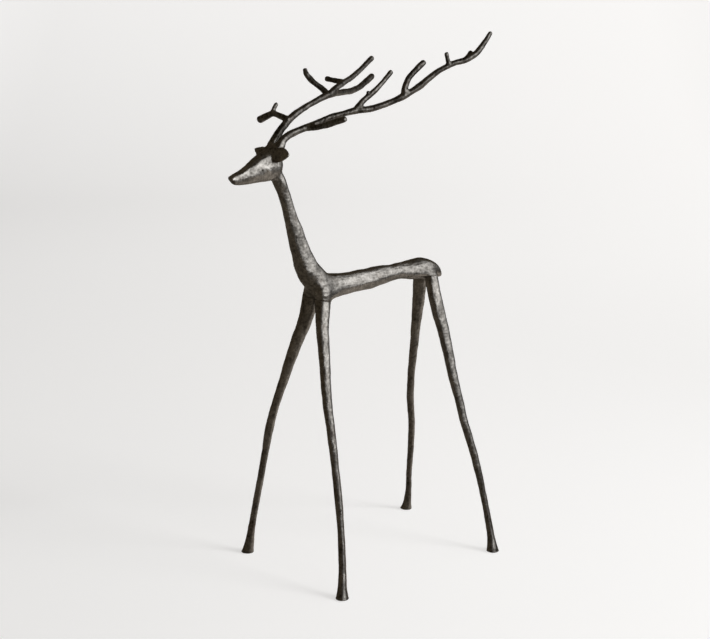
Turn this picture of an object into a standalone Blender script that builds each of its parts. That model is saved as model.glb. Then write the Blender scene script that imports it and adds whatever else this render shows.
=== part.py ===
"""A slender standing reindeer, cast in metal with a dark patina: a body, four legs and two antlers.

X is the deer's left, -Y is the way it looks, Z is up. Each limb is a row of stations along its own
line: a share of the way, how far the limb sways off that line, and its girth. Sways and girths are in
thousandths of the limb's own length, so a limb keeps its drawing when its length is changed.
"""

import math

import bpy
import numpy as np

# Stance and build of the figure, in metres
SHOULDER_HEIGHT = 0.504  # middle of the chest above the ground
HIP_HEIGHT = 0.514  # middle of the rump above the ground
BACK_LENGTH = 0.227  # chest to rump, along the ground
NECK_RISE = 0.188
NECK_LEAN = 0.078  # how far the neck comes forward over its rise
HEAD_LENGTH = 0.100
EAR_LENGTH = 0.043
EAR_WIDTH = 0.029
EAR_THICKNESS = 0.006

# Legs: where their castings begin, measured from the middle of the chest or rump
FRONT_SEAM_OUT = 0.0200
FRONT_SEAM_FORWARD = 0.0040
FRONT_SEAM_DROP = 0.0205
HIND_SEAM_OUT = 0.0165
HIND_SEAM_BACK = 0.0130
HIND_SEAM_DROP = 0.0150

# Feet: how far apart a pair stands, and how far each foot stands before the chest or behind the rump
FRONT_STANCE = 0.272
HIND_STANCE = 0.269
FRONT_LEFT_REACH = 0.053
FRONT_RIGHT_REACH = 0.063
HIND_LEFT_REACH = 0.066
HIND_RIGHT_REACH = 0.084
FOOT_RADIUS = 0.0112

# Antlers: how far each sweeps back behind its root, and where the roots sit over the top of the neck
LEFT_ANTLER_SWEEP = 0.307
RIGHT_ANTLER_SWEEP = 0.327
ANTLER_ROOT_OUT = 0.0105
ANTLER_ROOT_FORWARD = 0.0070
ANTLER_ROOT_RISE = 0.0565
ANTLER_ROOT_RADIUS = 0.0085

# Joints between the castings
SEAM_GAP = 0.0003
SHOULDER_LIP = 0.0006  # how far the body stands proud of a leg at its seam
HIP_LIP = 0.0014
CROWN_LIP = 0.0006

# The stub of each leg that is cast with the body: how far out its root lies, as a share of the seam's
# own distance, then how far back and down in girths of the leg, and the root's girth over the leg's
FRONT_STUB = (0.80, 0.25, 0.10, 1.35)
HIND_STUB = (0.20, 0.50, 0.20, 1.50)
STUB_MIDDLE = 0.65  # share of the way to the seam at which a stub still has most of its girth
STUB_MIDDLE_GIRTH = 1.20
PEDICLE_DEPTH = 1.3  # how deep an antler's stump is rooted in the skull, in girths of its seat
PEDICLE_LEAN = 0.3  # how far its root lies in towards the middle, as a share of the seat's distance
PEDICLE_GIRTH = 1.1

# Ears: where they start, out, forward and up from the neck's top in lengths of the head, how they rise
# and how their blade is turned, back and up, and the curve of a leaf that their width follows
EAR_ROOT = (0.07, 0.16, 0.42)
EAR_RISE = 0.09
EAR_BLADE = (0.42, 0.91)
EAR_WIDTH_AT_ROOT = 0.15
EAR_LEAF = (0.9, 0.7)

# The way the metal was worked by hand, and how finely the forms are drawn
WORKED_DEPTH = 0.05  # share of the girth by which a limb swells and shrinks
WORKED_LENGTHS = (0.047, 0.029)
ROUND_END_RINGS = 3
ROUND_END_LENGTH = 0.8  # how far a round end stands out, in girths
BODY_STEP, BODY_SIDES = 0.0115, 14
HEAD_STEP = 0.0095
STUB_STEP = 0.0060
LEG_STEP, LEG_SIDES = 0.0160, 12
BEAM_STEP, BEAM_SIDES = 0.0105, 9
TINE_STEP, TINE_SIDES = 0.0090, 8
EAR_RINGS, EAR_SIDES = 8, 10
SHARP_ANGLE = 50  # degrees between faces from which an edge is drawn sharp

PATINA_COLOUR = (0.033, 0.029, 0.025, 1.0)
PATINA_METALLIC = 0.85
PATINA_ROUGHNESS = 0.42

THOUSANDTH = 0.001
UP = np.array([0.0, 0.0, 1.0])
OUT = np.array([1.0, 0.0, 0.0])

# Leg stations: share of the way down, sway outwards, sway back, girth
FRONT_LEFT_LEG = [
    (0.00, 0, 0, 26.0), (0.10, 0, -11, 22.4), (0.18, 0, -10, 20.4), (0.26, 0, -11, 19.0),
    (0.34, 0, -10, 17.6), (0.42, 1, -4, 15.8), (0.50, 1, 2, 15.2), (0.58, 0, 7, 13.8),
    (0.66, 0, 11, 14.6), (0.74, 0, 13, 12.8), (0.86, 0, 11, 13.4), (0.93, 0, 7, 14.6), (0.975, 0, 2, 18.2),
]
FRONT_RIGHT_LEG = [
    (0.00, 0, 0, 25.0), (0.08, -5, 1, 24.8), (0.15, 5, -3, 22.6), (0.24, 13, -9, 19.6),
    (0.32, 15, -16, 17.0), (0.41, 17, -24, 15.2), (0.50, 18, -24, 16.2), (0.59, 17, -18, 13.6),
    (0.69, 15, -12, 12.8), (0.78, 11, -9, 12.8), (0.88, 7, -5, 13.0), (0.972, 2, 0, 18.6),
]
HIND_LEFT_LEG = [
    (0.00, 0, 0, 21.5), (0.10, 0, -6, 23.8), (0.19, 0, -2, 21.8), (0.28, 0, -2, 19.2),
    (0.36, -1, -3, 17.6), (0.44, -2, 1, 15.8), (0.53, -2, 3, 15.0), (0.61, -1, 11, 14.4),
    (0.70, 0, 15, 13.8), (0.79, 0, 15, 12.0), (0.87, 0, 12, 12.2), (0.965, 0, 5, 16.4),
]
HIND_RIGHT_LEG = [
    (0.00, 0, 0, 22.5), (0.10, 0, 1, 22.4), (0.20, 0, -4, 17.8), (0.30, 0, -8, 15.4),
    (0.40, 0, -13, 14.0), (0.50, 0, -11, 14.0), (0.61, 0, 3, 13.0), (0.72, 0, 6, 12.4),
    (0.83, 0, 5, 11.4), (0.93, 0, 7, 13.0), (0.975, 0, 4, 16.8),
]

# Neck stations, top to bottom: share of the rise, sway back, girth, in thousandths of the rise
NECK = [
    (1.10, -10, 50), (1.00, 0, 60), (0.89, 4, 55), (0.79, -5, 55), (0.68, -14, 59), (0.57, -25, 70),
    (0.46, -34, 78), (0.34, -42, 86), (0.23, -42, 101), (0.125, -20, 116),
]
# Back stations, chest to rump: share of the length, rise, girth, in thousandths of the length
BACK = [
    (0.02, 28, 98), (0.16, -3, 92), (0.27, -6, 84), (0.37, -5, 82), (0.48, -4, 81), (0.59, 2, 75),
    (0.69, 5, 64), (0.80, 8, 64), (0.90, 3, 78), (1.00, -4, 84),
]
# Rump and tail stations, behind the hip: distance back, rise, girth, in thousandths of the back
RUMP = [(57, -12, 75), (115, -30, 63), (161, -52, 48), (188, -68, 33), (201, -80, 24)]

# Head stations, nose to poll, measured from the top of the neck in thousandths of the head: the brow
# line's place back and up, the jaw line's, and the half widths at brow, cheek and jaw
HEAD = [
    (-970, 128, -870, -6, 40, 66, 46), (-890, 168, -780, -16, 52, 82, 56),
    (-770, 218, -690, -15, 62, 96, 62), (-640, 290, -580, -8, 76, 114, 70),
    (-510, 388, -450, 2, 92, 138, 84), (-360, 475, -310, 8, 108, 158, 95),
    (-200, 525, -160, 18, 114, 164, 105), (-60, 500, -45, 40, 94, 138, 92), (38, 410, 24, 112, 50, 84, 52),
]
# One half of the head's section: height from jaw to brow, width as (brow, cheek, jaw) shares
HEAD_SECTION = [
    (1.00, (0.00, 0.00, 0.00)), (0.985, (0.65, 0.00, 0.00)), (0.93, (1.00, 0.00, 0.00)),
    (0.76, (0.25, 0.72, 0.00)), (0.52, (0.00, 1.00, 0.00)), (0.28, (0.00, 0.75, 0.25)),
    (0.08, (0.00, 0.00, 1.00)), (0.01, (0.00, 0.00, 0.50)), (0.00, (0.00, 0.00, 0.00)),
]

# Antler stations, measured from the antler's root in thousandths of its sweep: out, back, up, girth.
# The first row of each antler is its beam, which starts on the crown; the others grow from inside it.
LEFT_ANTLER = {
    "beam": [
        (2, 20, 30, 21.0), (7, 53, 56, 18.5), (15, 96, 75, 18.2), (24, 135, 88, 17.2),
        (39, 176, 104, 16.0), (59, 228, 126, 15.2), (80, 279, 147, 14.8), (103, 328, 160, 15.0),
        (127, 376, 174, 16.5), (145, 412, 181, 18.0), (170, 454, 185, 16.2), (207, 517, 203, 16.0),
        (236, 562, 222, 15.2), (275, 623, 256, 17.6), (295, 658, 278, 16.0), (320, 695, 308, 17.4),
        (344, 728, 342, 16.0), (386, 782, 392, 14.0), (422, 835, 424, 14.2), (458, 895, 444, 15.4),
        (487, 946, 481, 15.6), (510, 985, 539, 13.2), (522, 1010, 583, 10.8),
    ],
    "first_tine": [
        (142, 406, 188, 18.0), (153, 430, 221, 15.5), (166, 472, 258, 14.6), (178, 503, 286, 13.9),
        (194, 545, 330, 11.9), (200, 566, 354, 12.8), (208, 585, 379, 13.2),
    ],
    "first_tine_spur": [(169, 479, 263, 10.9), (164, 463, 274, 9.6)],
    "second_tine": [
        (275, 626, 262, 18.0), (279, 623, 286, 17.0), (282, 626, 307, 16.0), (287, 642, 345, 15.4),
        (298, 682, 390, 15.4), (311, 725, 429, 14.8),
    ],
    "third_tine": [(412, 817, 420, 13.0), (414, 803, 454, 11.0), (415, 796, 476, 10.8)],
    "fourth_tine": [(458, 893, 443, 15.0), (454, 919, 463, 13.3), (451, 937, 481, 12.3)],
    "brow_tine": [
        (28, 160, 92, 16.0), (73, 178, 96, 14.8), (116, 186, 103, 14.4), (151, 192, 112, 15.6),
        (184, 201, 123, 16.6), (223, 211, 135, 16.2), (256, 220, 144, 15.0), (272, 225, 149, 13.6),
    ],
}
RIGHT_ANTLER = {
    "beam": [
        (3, 29, 41, 20.9), (8, 52, 66, 19.5), (15, 80, 90, 18.5), (24, 114, 115, 17.6),
        (35, 156, 139, 16.6), (50, 207, 161, 15.7), (69, 264, 180, 14.8), (87, 322, 197, 14.4),
        (109, 382, 214, 15.5), (130, 443, 227, 17.2), (191, 541, 231, 15.8), (255, 643, 231, 15.5),
        (320, 748, 232, 15.8), (378, 846, 246, 15.4), (427, 928, 270, 16.7), (474, 1008, 296, 16.0),
    ],
    "front_tine": [
        (133, 448, 227, 17.0), (164, 432, 259, 15.1), (194, 407, 288, 14.1), (216, 392, 311, 14.6),
        (231, 380, 334, 13.0), (243, 380, 355, 11.0),
    ],
    "rear_tine": [
        (135, 455, 228, 17.0), (173, 534, 262, 15.3), (209, 609, 284, 14.3), (261, 719, 317, 13.5),
        (307, 816, 358, 13.1), (349, 907, 401, 14.3),
    ],
    "rear_tine_spur": [
        (209, 609, 287, 13.5), (237, 585, 292, 14.1), (265, 570, 297, 13.4), (289, 558, 302, 14.4),
    ],
    "brow_tine": [
        (24, 115, 122, 17.5), (63, 95, 139, 14.2), (96, 73, 150, 14.2), (127, 54, 135, 16.7),
        (156, 36, 119, 18.5),
    ],
    "brow_tine_spur": [(96, 70, 150, 12.5), (99, 81, 173, 10.6), (106, 100, 195, 10.1)],
}


def place(out, forward, height):
    """A point of the figure: out to the deer's left, forward of the origin, above the ground."""
    return np.array([out, -forward, height])


CHEST = place(0.0, BACK_LENGTH / 2, SHOULDER_HEIGHT)
RUMP_MIDDLE = place(0.0, -BACK_LENGTH / 2, HIP_HEIGHT)
NECK_TOP = CHEST + place(0.0, NECK_LEAN, NECK_RISE)


def unit(vector):
    return vector / np.linalg.norm(vector)


def through(rows, step):
    """Rows read about every step along the smooth curve that passes through the given ones."""
    rows = np.asarray(rows, float)
    reach = np.linalg.norm(np.diff(rows[:, :3], axis=0), axis=1)
    at = np.concatenate([[0.0], np.cumsum(reach)])
    slope = np.gradient(rows, at, axis=0)
    wanted = np.linspace(0.0, at[-1], max(2, round(at[-1] / step)) + 1)
    span = np.clip(np.searchsorted(at, wanted, side="right") - 1, 0, len(reach) - 1)
    length = reach[span][:, None]
    t = ((wanted - at[span])[:, None]) / length
    start, end = rows[span], rows[span + 1]
    leave, arrive = slope[span] * length, slope[span + 1] * length
    return (
        start * (2 * t**3 - 3 * t**2 + 1)
        + leave * (t**3 - 2 * t**2 + t)
        + end * (3 * t**2 - 2 * t**3)
        + arrive * (t**3 - t**2)
    )


def worked(along, round_about, seed):
    """How much a limb swells at each place, from -1 to 1: two slow waves that wind round it."""
    long_wave, short_wave = WORKED_LENGTHS
    first = np.sin(math.tau * along / long_wave + round_about + seed)
    second = np.sin(math.tau * along / short_wave - 2 * round_about + 2.3 * seed)
    return 0.55 * first + 0.45 * second


def skin(rings, first_tip=None, last_tip=None):
    """Faces over a row of rings, with each end closed by a flat face or drawn to a tip."""
    count, sides = rings.shape[:2]
    points = list(rings.reshape(-1, 3))
    faces = []
    for ring in range(count - 1):
        for side in range(sides):
            after = (side + 1) % sides
            here, there = ring * sides, (ring + 1) * sides
            faces.append((here + side, here + after, there + after, there + side))
    first_rim = list(range(sides))[::-1]
    last_rim = list(range((count - 1) * sides, count * sides))
    for rim, tip in ((first_rim, first_tip), (last_rim, last_tip)):
        if tip is None:
            faces.append(tuple(rim))
            continue
        points.append(tip)
        for side in range(sides):
            faces.append((rim[side], rim[(side + 1) % sides], len(points) - 1))
    return np.array(points), faces


def limb(stations, step, sides, seed, start="round", finish="round", finish_axis=None, grown=0.0):
    """A round limb along its stations (x, y, z, girth), with round or flat ends, grown on all sides."""
    path = through(stations, step)
    along = np.concatenate([[0.0], np.cumsum(np.linalg.norm(np.diff(path[:, :3], axis=0), axis=1))])
    tangents = np.gradient(path[:, :3], along, axis=0)
    tangents /= np.linalg.norm(tangents, axis=1)[:, None]
    if finish_axis is not None:
        tangents[-2] = unit(tangents[-2] + finish_axis)
        tangents[-1] = finish_axis

    across = unit(np.cross(tangents[0], UP if abs(tangents[0] @ UP) < 0.9 else OUT))
    angles = np.arange(sides) * math.tau / sides
    fade = np.clip(np.minimum(along, along[-1] - along) / (2 * step), 0, 1)
    rings = []
    for row, tangent, reached, share in zip(path, tangents, along, fade):
        across = unit(across - tangent * (across @ tangent))
        around = np.cross(tangent, across)
        girth = row[3] * (1 + WORKED_DEPTH * share * worked(reached, angles, seed)) + grown
        spokes = np.outer(np.cos(angles), across) + np.outer(np.sin(angles), around)
        rings.append(row[:3] + girth[:, None] * spokes)

    tips = [None, None]
    for end, shape in ((0, start), (-1, finish)):
        if shape == "flat":
            continue
        middle, rim = path[end, :3], rings[end]
        outward = tangents[end] * (-1 if end == 0 else 1)
        lift = path[end, 3] * ROUND_END_LENGTH
        caps = []
        for ring in range(1, ROUND_END_RINGS):
            turn = ring / ROUND_END_RINGS * math.pi / 2
            caps.append(middle + (rim - middle) * math.cos(turn) + outward * lift * math.sin(turn))
        rings = caps[::-1] + rings if end == 0 else rings + caps
        tips[end] = middle + outward * lift
    return skin(np.array(rings), *tips)


def leg_seam(front, side):
    """The middle of the seam where a leg's casting meets the body."""
    if front:
        return CHEST + place(side * FRONT_SEAM_OUT, FRONT_SEAM_FORWARD, -FRONT_SEAM_DROP)
    return RUMP_MIDDLE + place(side * HIND_SEAM_OUT, -HIND_SEAM_BACK, -HIND_SEAM_DROP)


def leg_stations(stations, front, side):
    """A leg's stations in space: down a straight line from its seam to its foot, with its sways."""
    seam = leg_seam(front, side)
    if front:
        reach = FRONT_LEFT_REACH if side > 0 else FRONT_RIGHT_REACH
        foot = place(side * FRONT_STANCE / 2, BACK_LENGTH / 2 + reach, 0.0)
    else:
        reach = HIND_LEFT_REACH if side > 0 else HIND_RIGHT_REACH
        foot = place(side * HIND_STANCE / 2, -BACK_LENGTH / 2 - reach, 0.0)
    scale = seam[2] * THOUSANDTH
    rows = []
    for share, out, back, girth in stations:
        point = seam + (foot - seam) * share + np.array([side * out, back, 0.0]) * scale
        rows.append((*point, girth * scale))
    rows.append((*foot, FOOT_RADIUS))
    return np.array(rows)


def leg_axis(rows):
    """The way a leg leaves its seam, which both faces of the seam are square to."""
    return unit(rows[1, :3] - rows[0, :3])


def leg(stations, front, side, seed):
    """A leg from its seam down to a small flared foot with a flat underside."""
    rows = leg_stations(stations, front, side)
    rows[0, :3] += leg_axis(rows) * SEAM_GAP
    return limb(rows, LEG_STEP, LEG_SIDES, seed, "flat", "flat", finish_axis=-UP)


def leg_socket(stations, front, side, seed):
    """The room that the body leaves for a leg: the leg's own form, larger all round by the gap."""
    rows = leg_stations(stations, front, side)
    return limb(rows, LEG_STEP, LEG_SIDES, seed, "flat", "flat", finish_axis=-UP, grown=SEAM_GAP)


def leg_stub(stations, front, side, seed):
    """The short length of leg that is cast with the body, ending square at the seam."""
    rows = leg_stations(stations, front, side)
    seam, axis, girth = rows[0, :3], leg_axis(rows), rows[0, 3]
    inside = CHEST if front else RUMP_MIDDLE
    lip = SHOULDER_LIP if front else HIP_LIP
    out, back, down, root_girth = FRONT_STUB if front else HIND_STUB
    root = inside + place(seam[0] * out, -back * girth, -down * girth)
    middle = root + (seam - root) * STUB_MIDDLE
    stub = [(*root, girth * root_girth), (*middle, girth * STUB_MIDDLE_GIRTH), (*seam, girth + lip)]
    return limb(stub, STUB_STEP, BODY_SIDES, seed, "round", "flat", finish_axis=axis)


def trunk():
    """Neck, chest, back, rump and tail in one run from the skull to the tail's tip."""
    neck_size = NECK_RISE * THOUSANDTH
    back_size = BACK_LENGTH * THOUSANDTH
    rows = []
    for share, back, girth in NECK:
        point = CHEST + (NECK_TOP - CHEST) * share - place(0.0, back * neck_size, 0.0)
        rows.append((*point, girth * neck_size))
    for share, rise, girth in BACK:
        point = CHEST + (RUMP_MIDDLE - CHEST) * share + UP * rise * back_size
        rows.append((*point, girth * back_size))
    for back, rise, girth in RUMP:
        point = RUMP_MIDDLE + place(0.0, -back * back_size, rise * back_size)
        rows.append((*point, girth * back_size))
    return limb(rows, BODY_STEP, BODY_SIDES, 0.4)


def head():
    """A wedge of a head with a flat brow, a blunt slanted muzzle and cheeks that narrow to the jaw."""
    rows = through(np.array(HEAD) * HEAD_LENGTH * THOUSANDTH, HEAD_STEP)
    rings = []
    for brow_back, brow_up, jaw_back, jaw_up, *widths in rows:
        half = []
        for height, shares in HEAD_SECTION:
            back = jaw_back + (brow_back - jaw_back) * height
            up = jaw_up + (brow_up - jaw_up) * height
            half.append((float(np.dot(shares, widths)), back, up))
        other = [(-x, y, z) for x, y, z in half[-2:0:-1]]
        rings.append(np.array(half + other) + NECK_TOP)
    return skin(np.array(rings))


def ear(side):
    """A cupped leaf that stands out from the skull: widest near its middle, drawn to a point."""
    out, forward, rise = EAR_ROOT
    root = NECK_TOP + place(side * out, forward, rise) * HEAD_LENGTH
    axis = unit(np.array([side, 0.0, EAR_RISE]))
    wide = unit(np.array([0.0, *EAR_BLADE]))
    thick = unit(np.cross(axis, wide)) * side
    angles = np.arange(EAR_SIDES) * math.tau / EAR_SIDES
    rings = []
    for share in np.linspace(0.0, 0.97, EAR_RINGS):
        reached = EAR_WIDTH_AT_ROOT + (1 - EAR_WIDTH_AT_ROOT) * share
        leaf = math.sin(math.pi * reached ** EAR_LEAF[0]) ** EAR_LEAF[1]
        width = EAR_WIDTH / 2 * leaf * np.cos(angles)
        depth = EAR_THICKNESS / 2 * leaf**0.5 * np.sin(angles)
        cup = EAR_THICKNESS / 2 * leaf * np.cos(angles) ** 2
        middle = root + axis * EAR_LENGTH * share
        rings.append(middle + np.outer(width, wide) + np.outer(depth + cup, thick))
    rings = np.array(rings if side > 0 else [ring[::-1] for ring in rings])
    return skin(rings, last_tip=root + axis * EAR_LENGTH)


def antler_root(side):
    """The middle of the seat of an antler on the crown."""
    return NECK_TOP + place(side * ANTLER_ROOT_OUT, ANTLER_ROOT_FORWARD, ANTLER_ROOT_RISE)


def antler_rows(rows, side, sweep):
    """Stations of an antler in space, the out of each counted away from the deer's middle."""
    scale = sweep * THOUSANDTH
    rows = np.array(rows) * scale
    rows[:, 0] *= side
    rows[:, :3] += antler_root(side)
    return rows


def beam_stations(antler, side, sweep):
    """The beam's stations with its root added, which is as wide as its seat on the crown."""
    rows = antler_rows(antler["beam"], side, sweep)
    return np.vstack([(*antler_root(side), ANTLER_ROOT_RADIUS), rows])


def antler_axis(antler, side, sweep):
    """The way an antler leaves the crown, which both faces of its joint are square to."""
    rows = beam_stations(antler, side, sweep)
    return unit(rows[1, :3] - rows[0, :3])


def antler_forms(antler, side, sweep):
    """The beam and the tines of an antler. Each tine starts inside what it grows from."""
    rows = beam_stations(antler, side, sweep)
    rows[0, :3] += antler_axis(antler, side, sweep) * SEAM_GAP
    forms = [limb(rows, BEAM_STEP, BEAM_SIDES, 1.0 + side, "flat", "round")]
    for seed, (name, tine) in enumerate(antler.items()):
        if name != "beam":
            forms.append(limb(antler_rows(tine, side, sweep), TINE_STEP, TINE_SIDES, seed))
    return forms


def pedicle(antler, side, sweep, seed):
    """The stump on the crown that carries an antler, ending square to the antler's beam."""
    seat, axis = antler_root(side), antler_axis(antler, side, sweep)
    inward = place(side * ANTLER_ROOT_OUT * PEDICLE_LEAN, 0.0, 0.0)
    root = seat - axis * ANTLER_ROOT_RADIUS * PEDICLE_DEPTH - inward
    rows = [(*root, ANTLER_ROOT_RADIUS * PEDICLE_GIRTH), (*seat, ANTLER_ROOT_RADIUS + CROWN_LIP)]
    return limb(rows, STUB_STEP, BODY_SIDES, seed, "round", "flat", finish_axis=axis)


def body_forms():
    """The forms of the body's casting: trunk, head, ears, leg stubs and antler stumps."""
    forms = [trunk(), head(), ear(1), ear(-1)]
    for seed, (stations, front, side) in enumerate(LEGS.values()):
        forms.append(leg_stub(stations, front, side, seed))
    forms.append(pedicle(LEFT_ANTLER, 1, LEFT_ANTLER_SWEEP, 5.0))
    forms.append(pedicle(RIGHT_ANTLER, -1, RIGHT_ANTLER_SWEEP, 6.0))
    return forms


LEGS = {
    "front_left_leg": (FRONT_LEFT_LEG, True, 1),
    "front_right_leg": (FRONT_RIGHT_LEG, True, -1),
    "hind_left_leg": (HIND_LEFT_LEG, False, 1),
    "hind_right_leg": (HIND_RIGHT_LEG, False, -1),
}


def patina(name):
    """Cast aluminium under a dark bronze-brown patina."""
    material = bpy.data.materials.new(name + "_patina")
    material.use_nodes = True
    shader = material.node_tree.nodes["Principled BSDF"]
    shader.inputs["Base Color"].default_value = PATINA_COLOUR
    shader.inputs["Metallic"].default_value = PATINA_METALLIC
    shader.inputs["Roughness"].default_value = PATINA_ROUGHNESS
    return material


def add_form(name, form, shift):
    points, faces = form
    mesh = bpy.data.meshes.new(name)
    mesh.from_pydata((points + shift).tolist(), [], faces)
    mesh.update()
    mesh.shade_smooth()
    mesh.set_sharp_from_angle(angle=math.radians(SHARP_ANGLE))
    made = bpy.data.objects.new(name, mesh)
    bpy.context.collection.objects.link(made)
    return made


def add_casting(name, forms, sockets, shift):
    """One casting: its first form joined to the others, less the sockets that other castings sit in."""
    casting = add_form(name, forms[0], shift)
    casting.data.materials.append(patina(name))
    steps = [("form", "UNION", form) for form in forms[1:]]
    steps += [("socket", "DIFFERENCE", cut) for cut in sockets]
    for number, (kind, operation, form) in enumerate(steps, 1):
        guide = add_form(f"{name}_{kind}_{number}", form, shift)
        guide.hide_render = True
        guide.display_type = "WIRE"
        step = casting.modifiers.new(guide.name, "BOOLEAN")
        step.operation = operation
        step.solver = "EXACT"
        step.object = guide
    return casting


def main():
    for old in list(bpy.data.objects):
        bpy.data.objects.remove(old, do_unlink=True)
    castings = {"body": body_forms()}
    sockets = []
    for seed, (name, (stations, front, side)) in enumerate(LEGS.items(), 1):
        castings[name] = [leg(stations, front, side, seed)]
        sockets.append(leg_socket(stations, front, side, seed))
    castings["left_antler"] = antler_forms(LEFT_ANTLER, 1, LEFT_ANTLER_SWEEP)
    castings["right_antler"] = antler_forms(RIGHT_ANTLER, -1, RIGHT_ANTLER_SWEEP)

    # The origin is on the ground under the middle of the whole figure
    everything = np.vstack([points for forms in castings.values() for points, faces in forms])
    low, high = everything.min(axis=0), everything.max(axis=0)
    shift = -np.array([(low[0] + high[0]) / 2, (low[1] + high[1]) / 2, low[2]])
    for name, forms in castings.items():
        add_casting(name, forms, sockets if name == "body" else [], shift)


main()
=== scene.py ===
"""The finished surface of a slender cast metal reindeer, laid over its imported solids.

Five castings are drawn: the body with both antlers in one piece, and four legs. Each follows the same
stations as the solids, drawn finely, with the forks filled as clay is, and with the dents and strokes
of a form that was worked by hand before it was cast.
"""

import math

import bpy
import numpy as np
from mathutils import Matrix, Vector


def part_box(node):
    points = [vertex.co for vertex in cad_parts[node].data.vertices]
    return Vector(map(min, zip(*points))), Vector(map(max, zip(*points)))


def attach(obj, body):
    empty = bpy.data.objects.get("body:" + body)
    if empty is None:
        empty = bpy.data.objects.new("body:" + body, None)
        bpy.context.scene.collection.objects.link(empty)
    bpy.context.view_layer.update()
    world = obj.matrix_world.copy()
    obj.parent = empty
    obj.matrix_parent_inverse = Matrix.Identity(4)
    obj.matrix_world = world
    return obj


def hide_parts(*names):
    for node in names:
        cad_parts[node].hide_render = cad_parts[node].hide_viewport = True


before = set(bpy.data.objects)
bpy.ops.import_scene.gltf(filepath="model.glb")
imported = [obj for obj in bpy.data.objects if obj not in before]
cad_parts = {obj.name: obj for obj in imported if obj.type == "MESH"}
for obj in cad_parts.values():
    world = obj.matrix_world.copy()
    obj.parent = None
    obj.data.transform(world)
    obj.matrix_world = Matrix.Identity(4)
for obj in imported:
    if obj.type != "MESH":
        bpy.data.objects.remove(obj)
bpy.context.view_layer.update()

MM = 0.001
THOUSANDTH = 0.001
UP = np.array([0.0, 0.0, 1.0])
OUT = np.array([1.0, 0.0, 0.0])

# Stance and build of the figure, in metres, as in the solids
SHOULDER_HEIGHT = 0.504
HIP_HEIGHT = 0.514
BACK_LENGTH = 0.227
NECK_RISE = 0.188
NECK_LEAN = 0.078
HEAD_LENGTH = 0.100
EAR_LENGTHS = {1: 0.046, -1: 0.0405}
EAR_WIDTHS = {1: 0.027, -1: 0.022}
EAR_THICKNESS = 0.006
FRONT_SEAM_OUT = 0.0200
FRONT_SEAM_FORWARD = 0.0040
FRONT_SEAM_DROP = 0.0205
HIND_SEAM_OUT = 0.0165
HIND_SEAM_BACK = 0.0130
HIND_SEAM_DROP = 0.0150
FRONT_STANCE = 0.272
HIND_STANCE = 0.269
FRONT_LEFT_REACH = 0.053
FRONT_RIGHT_REACH = 0.063
HIND_LEFT_REACH = 0.066
HIND_RIGHT_REACH = 0.084
FOOT_RADIUS = 0.0112
LEFT_ANTLER_SWEEP = 0.307
RIGHT_ANTLER_SWEEP = 0.327
ANTLER_ROOT_OUT = 0.0105
ANTLER_ROOT_FORWARD = 0.0054
ANTLER_ROOT_RISE = 0.0565
ANTLER_ROOT_RADIUS = 0.0085
ANTLER_GIRTH = 1.04  # of the drawn antlers, over their stations

# The seams, on the left, under 1, and on the right, under -1
LET_IN = {1: 0.0011, -1: 0.0030}  # how far the top of a leg is let into the casting above it
SHOULDER_LIPS = {1: 0.0005, -1: 0.0}  # how much wider than the leg the casting above it ends
HIP_LIPS = {1: 0.0014, -1: 0.0}
# Where the stub above a seam starts: share of the seam's way out, then back, down and girth in leg girths
FRONT_STUBS = {1: (0.80, -0.20, 0.10, 1.30), -1: (0.80, 0.25, 0.10, 1.35)}
HIND_STUB = (0.20, 0.50, 0.20, 1.50)
# How a shoulder rises into the neck and a hip into the rump: out, forward, up in mm and share of the girth
SHOULDER_RISES = {
    1: [(11.5, 9.0, 12.0, 1.10), (8.5, 19.5, 32.0, 1.06), (4.5, 28.0, 52.0, 0.86)],
    -1: [(11.0, 5.5, 11.0, 1.08), (8.0, 17.0, 32.0, 1.06), (4.5, 28.0, 52.0, 0.86)],
}
HIP_RISE = [(3.0, 4.0, 2.0, 1.10)]
# Webs on each side and a pad across the breast: out, back, up from the chest's or, for the hip, the rump's
# middle, and radius, in mm
SHOULDER_BLADE = [(15.0, 0, -6, 13.0), (12.0, 18, -6.5, 12.5), (6.0, 42, -5, 13.0)]
BELLY_WEB = [(18.0, 2, -12.5, 11.5), (13.0, 15, -7.5, 13.5), (6.0, 34, -3.5, 15.0)]
HIP_BLADE = [(2.0, -48, -2, 12.5), (8.0, -24, -6, 11.5), (11.0, -2, -7, 11.0), (12.5, 14, -9, 11.0)]
BREAST_PAD = [(-8.0, -2, -9.5, 11.8), (0.0, -2, -9.0, 12.0), (8.0, -2, -9.5, 11.8)]
SEAM_SLOPE = 0.34  # how much the front legs' seams fall outwards and back
SEAM_SLOPE_WAY = np.array([0.61, 0.79])  # the way they fall: out, back
SEAM_SLOPE_REACH = 0.0275  # how far from a seam's middle the slope is still felt
STUB_MIDDLE = 0.65  # share of the stub's length, and its girth there in leg girths
STUB_MIDDLE_GIRTH = 1.20
CROTCH_DEPTH = 0.068  # how far below the seam the insides of two legs are filled, and how much at the seam
FRONT_CROTCH_FILL = 0.0070
HIND_CROTCH_FILL = 0.0060

# The stump under an antler: depth and girth in root radii, how far it leans in, and what the beam covers
PEDICLE_DEPTH = 1.3
PEDICLE_GIRTH = 1.1
PEDICLE_LEAN = 0.3
PEDICLE_OVERLAP = 0.003
# The crown from ear to ear: out, forward, up and girth in mm from the neck's top
CROWN = [
    (-24, 23, 44, 5.0), (-17, 20, 46, 6.6), (-9, 17, 48, 8.0), (0, 14, 48, 8.4), (9, 14, 46, 7.6),
    (17, 16, 43, 6.0),
]

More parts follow.
